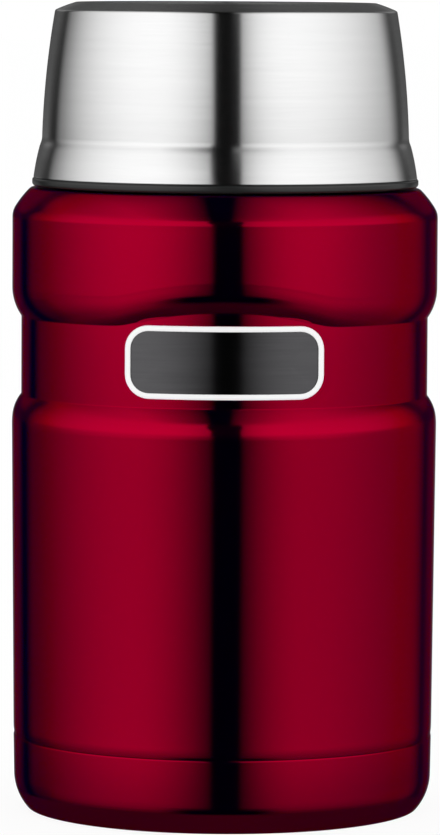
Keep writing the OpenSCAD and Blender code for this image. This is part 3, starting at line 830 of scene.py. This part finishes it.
# The panels a little above the horizon: near and far are width and power. Where the lid's flared skirt
# looks, the gap widens and the level drops
lidPanels = {
    "leftPeak": 50, "leftLevel": 1.04, "leftNear": (51.7, 3.4), "leftFar": (84.5, 2.1),
    "leftGap": (6.0, 8.0),
    "rightPeak": 42, "rightLevel": 1.02, "rightNear": (37.5, 3.3), "rightFar": (110.8, 1.87),
    "rightGap": (8.3, 9.9), "rightEnd": (120, 143),
    "skirt": (8, 20), "leftWiden": 2.4, "rightWiden": 1.0, "level": 1.20, "drop": 0.05, "least": 0.006,
}


# A panel's level, 1 at its peak: 1 - (distance / width) to a power. Away is positive on its far side
def panelLevel(away, near, far):
    width, power = np.where(away > 0, far[0], near[0]), np.where(away > 0, far[1], near[1])
    return np.clip(1 - (np.abs(away) / width) ** power, 0, 1)


# The studio a little above the horizon: the walls' panels, brighter and with harder edges
def lidLevel(a, e, n):
    skirt = ease(e, *n["skirt"])
    left = n["leftLevel"] * panelLevel(-n["leftPeak"] - a, n["leftNear"], n["leftFar"])
    right = n["rightLevel"] * panelLevel(a - n["rightPeak"], n["rightNear"], n["rightFar"])
    left = left * ease(-a - n["leftWiden"] * skirt, *n["leftGap"])
    right = right * ease(a - n["rightWiden"] * skirt, *n["rightGap"]) * (1 - ease(a, *n["rightEnd"]))
    return (n["level"] - n["drop"] * skirt) * np.where(a < 0, left, right) + n["least"]


# The panels high up: where each comes in and falls off, and the dim wall behind
topPanels = {
    "leftEdge": 0.11, "leftRise": 0.48, "leftHold": 50, "leftFall": 85, "leftEnd": (130, 146),
    "rightFull": 0.6, "rightRise": 0.55, "rightHold": 55, "rightFall": 85, "power": 1.5,
    "level": 1.08, "drop": (0.12, 28, 42), "back": 0.17, "backFrom": (140, 156),
    "backDrop": (0.11, 18, 28), "highDrop": (0.022, 35, 54),
}


# The studio high up: panels hung along both sides, so that the level follows the sideways part of the
# direction, sin(azimuth) cos(elevation), and falls off towards the back
def topLevel(a, e, t):
    side = np.abs(a)
    across = np.sin(np.radians(side)) * np.cos(np.radians(e))
    left = np.clip((across - t["leftEdge"]) / t["leftRise"], 0, 1)
    left = left * np.exp(-(np.clip(side - t["leftHold"], 0, None) / t["leftFall"]) ** 2)
    left = left * (1 - ease(side, *t["leftEnd"]))
    right = 1 - np.clip((t["rightFull"] - across) / t["rightRise"], 0, 1) ** t["power"]
    beyond = np.clip(side - t["rightHold"], 0, None) / t["rightFall"]
    right = right * np.clip(1 - beyond ** t["power"], 0, 1)
    back = t["back"] - comingIn(e, *t["backDrop"]) - comingIn(e, *t["highDrop"])
    back = back * ease(side, *t["backFrom"])
    return (t["level"] - comingIn(e, *t["drop"])) * np.where(a < 0, left, right) + back


# Where the zones meet, and levels that are added or taken off, each with the angles where it comes in
studio = {
    "toLid": (-2.3, 2.4), "toTop": (21, 34), "toLow": (-2.6, -1.2), "lowBack": (0.18, 140, 154),
    "lidBack": (0.15, 136, 150), "lidBackUp": (5, 10), "lidBackTop": (24, 36), "lidBackLean": 0.9,
    "lidBackCorner": 150, "farSide": (0.028, 120, 128), "behind": (0.04, 138, 156),
    "fadeDown": (8, 11, 16, 21, 26, 31, 36, 42, 48, 54),
    "fadeLevel": (1, 1.06, 1.0, 0.88, 0.74, 0.60, 0.44, 0.22, 0.08, 0),
    "leftFade": (0.4, 105, 122), "leftFadeDown": (9, 12),
    "frontFadeTo": (18, 42), "frontFadeDown": (25, 33),
    "floor": 0.055, "floorSide": (0.03, 8, 25), "floorDown": (42, 52), "floorLean": (10, 10, 40),
}


# How bright the studio is in each direction, in degrees: the three zones, with dim walls behind. Below
# the walls' zone it fades in steps, first on the far left and at the front, to a dim floor
def studioLevel(a, e, s):
    side, down = np.abs(a), -e
    above, over, low = ease(e, *s["toLid"]), ease(e, *s["toTop"]), 1 - ease(e, *s["toLow"])
    level = (wallLevel(a, down, walls) * (1 - above) + lidLevel(a, e, lidPanels) * above * (1 - over)
             + topLevel(a, e, topPanels) * over)
    slanted = e + s["lidBackLean"] * np.clip(side - s["lidBackCorner"], 0, None)
    level = (level + comingIn(side, *s["lowBack"]) * low
             + comingIn(side, *s["lidBack"]) * ease(e, *s["lidBackUp"])
             * (1 - ease(slanted, *s["lidBackTop"])))
    behind = comingIn(side, *s["farSide"]) + comingIn(side, *s["behind"])
    level = level + behind * (1 - low) * (1 - over)
    level = level * np.interp(down, s["fadeDown"], s["fadeLevel"])
    level = level * (1 - comingIn(-a, *s["leftFade"]) * ease(down, *s["leftFadeDown"]))
    level = level * (1 - (1 - ease(side, *s["frontFadeTo"])) * ease(down, *s["frontFadeDown"]))
    floor = s["floor"] + comingIn(side, *s["floorSide"])
    return level + floor * ease(down + comingIn(side, *s["floorLean"]), *s["floorDown"])


# A material for the stage, without the Principled shader. It isn't sampled as a lamp
def emptyMaterial(name):
    material = bpy.data.materials.new(name)
    material.use_nodes = True
    material.node_tree.nodes.clear()
    material.cycles.emission_sampling = "NONE"
    return material


# White light, as strong as a number or a socket says
def whiteLight(material, strength):
    light = addNode(material, "Emission", {"Color": (1, 1, 1, 1), "Strength": strength})
    return light.outputs[0]


# What the mesh's points carry under a name
def stored(material, attribute):
    return addNode(material, "Attribute", attribute_name=attribute).outputs


# A stage object from points, faces and a material, and numbers kept on its points by name
def stageObject(name, points, faces, material, **numbers):
    mesh = bpy.data.meshes.new(name)
    mesh.from_pydata(points, [], faces)
    mesh.materials.append(material)
    for key, values in numbers.items():
        kept = mesh.attributes.new(key, "FLOAT", "POINT")
        kept.data.foreach_set("value", values.astype(np.float32).ravel())
    piece = newObject(name, mesh)
    return piece


# Only glossy surfaces see this object
def onlyReflected(piece):
    piece.visible_camera = piece.visible_diffuse = piece.visible_shadow = False
    piece.visible_transmission = piece.visible_volume_scatter = False


# The wrap of panels: a sphere of directions round the jar, each point carrying the studio's level there
def buildWrap(radius=60.0, rows=241, count=480):
    elevation = np.linspace(-90, 90, rows)[:, None]
    azimuth = np.linspace(-180, 180, count, endpoint=False)[None]
    e, a = np.radians(elevation), np.radians(azimuth)
    xyz = np.broadcast_arrays(np.cos(e) * np.sin(a), -np.cos(e) * np.cos(a), np.sin(e))
    xyz = radius * np.stack(xyz, axis=-1)
    xyz[[0, -1], :, :2] = 0
    points, faces = gridFaces(xyz, False)
    material = emptyMaterial("studio_light")
    light = whiteLight(material, stored(material, "level")["Fac"])
    addNode(material, "OutputMaterial", {"Surface": light})
    level = np.broadcast_to(studioLevel(azimuth, elevation, studio), xyz.shape[:2])
    onlyReflected(stageObject("studio_wrap", points.tolist(), faces, material, level=level))


buildWrap()

# The card's rings, its dim disc of painted floor shadow, and how much of the studio comes through at
# which radius
card = {
    "rings": (0.01, 30, 54, 55, 57, 60, 75, 92, 105, 130, 170), "height": 0.2,
    "discRadius": 54, "shadowDiscLevel": 0.085,
    "throughAt": (54, 55, 57, 60, 92, 130, 170), "through": (0, 0.35, 0.55, 0.70, 0.67, 0.86, 1),
}


# A painted shadow of the floor near the foot, as glossy surfaces see it: a dim disc under the jar, and
# round it a ring that lets a share of the studio through, clearing outwards
def buildCard(c, count=96):
    material = emptyMaterial("painted_floor_shadow")
    clear = addNode(material, "BsdfTransparent", {"Color": stored(material, "through")["Color"]})
    light = whiteLight(material, stored(material, "level")["Fac"])
    both = addNode(material, "AddShader", {0: clear.outputs[0], 1: light})
    addNode(material, "OutputMaterial", {"Surface": both.outputs[0]})
    rings = np.array(c["rings"])
    radius, height, angle = turned(np.column_stack([rings, np.full(len(rings), c["height"])]), count)
    points, faces = gridFaces(aroundAxis(radius, height, angle), False)
    through = np.repeat(np.interp(rings, c["throughAt"], c["through"]), count)
    # The disc's dim level is painted shade: the jar's shadow on the floor as reflections see it
    level = np.repeat(np.where(rings <= c["discRadius"], c["shadowDiscLevel"], 0.0), count)
    onlyReflected(stageObject("floor_shadow_card", (points * mm).tolist(), faces, material,
                              through=through, level=level))


buildCard(card)


# A pale floor that turns white for camera, glossy and transmission rays but keeps a share of its shadow
def buildFloor(half=12.0, kept=0.08, pale=0.97):
    material = emptyMaterial("floor_white")
    path = addNode(material, "LightPath").outputs
    seen = calc(material, "MAXIMUM", path["Is Camera Ray"], path["Is Glossy Ray"])
    seen = calc(material, "MAXIMUM", seen, path["Is Transmission Ray"])
    plain = addNode(material, "BsdfDiffuse", {"Color": (pale, pale, pale, 1)})
    mix = addNode(material, "MixShader", {0: calc(material, "MULTIPLY", seen, 1 - kept),
                                                    1: plain.outputs[0], 2: whiteLight(material, 1.0)})
    addNode(material, "OutputMaterial", {"Surface": mix.outputs[0]})
    square = [(-half, -half, 0), (half, -half, 0), (half, half, 0), (-half, half, 0)]
    floor = stageObject("floor", square, [[0, 1, 2, 3]], material)
    floor.visible_glossy = False


buildFloor()


# A plain white world, which gives the even light
def buildWorld():
    world = bpy.data.worlds.new("white_room")
    world.use_nodes = True
    inputs = world.node_tree.nodes["Background"].inputs
    inputs["Color"].default_value = (1, 1, 1, 1)
    inputs["Strength"].default_value = 1.0
    world.cycles.sampling_method = "NONE"
    bpy.context.scene.world = world


buildWorld()
print("studio built")

# The camera's place in metres, its roll in degrees, and its lens and film in millimetres
view = {
    "distance": 1.38, "height": 0.2047, "target": 0.0933, "aside": -0.00095, "roll": 0.32,
    "lens": 250.0, "film": 36.0, "near": 0.05, "far": 60.0,
}


# The camera stands in front of the badge and looks down at the target height, turned by its roll
def buildCamera(v):
    data = bpy.data.cameras.new("camera")
    data.lens = v["lens"]
    data.sensor_width = v["film"]
    data.clip_start, data.clip_end = v["near"], v["far"]
    camera = newObject("camera", data)
    place = Vector((v["aside"], -v["distance"], v["height"]))
    towards = Vector((v["aside"], 0, v["target"])) - place
    roll = Matrix.Rotation(math.radians(v["roll"]), 4, "Z")
    turn = towards.to_track_quat("-Z", "Y").to_matrix().to_4x4() @ roll
    camera.matrix_world = Matrix.Translation(place) @ turn
    bpy.context.scene.camera = camera


buildCamera(view)

bpy.context.scene.view_settings.view_transform = "Standard"
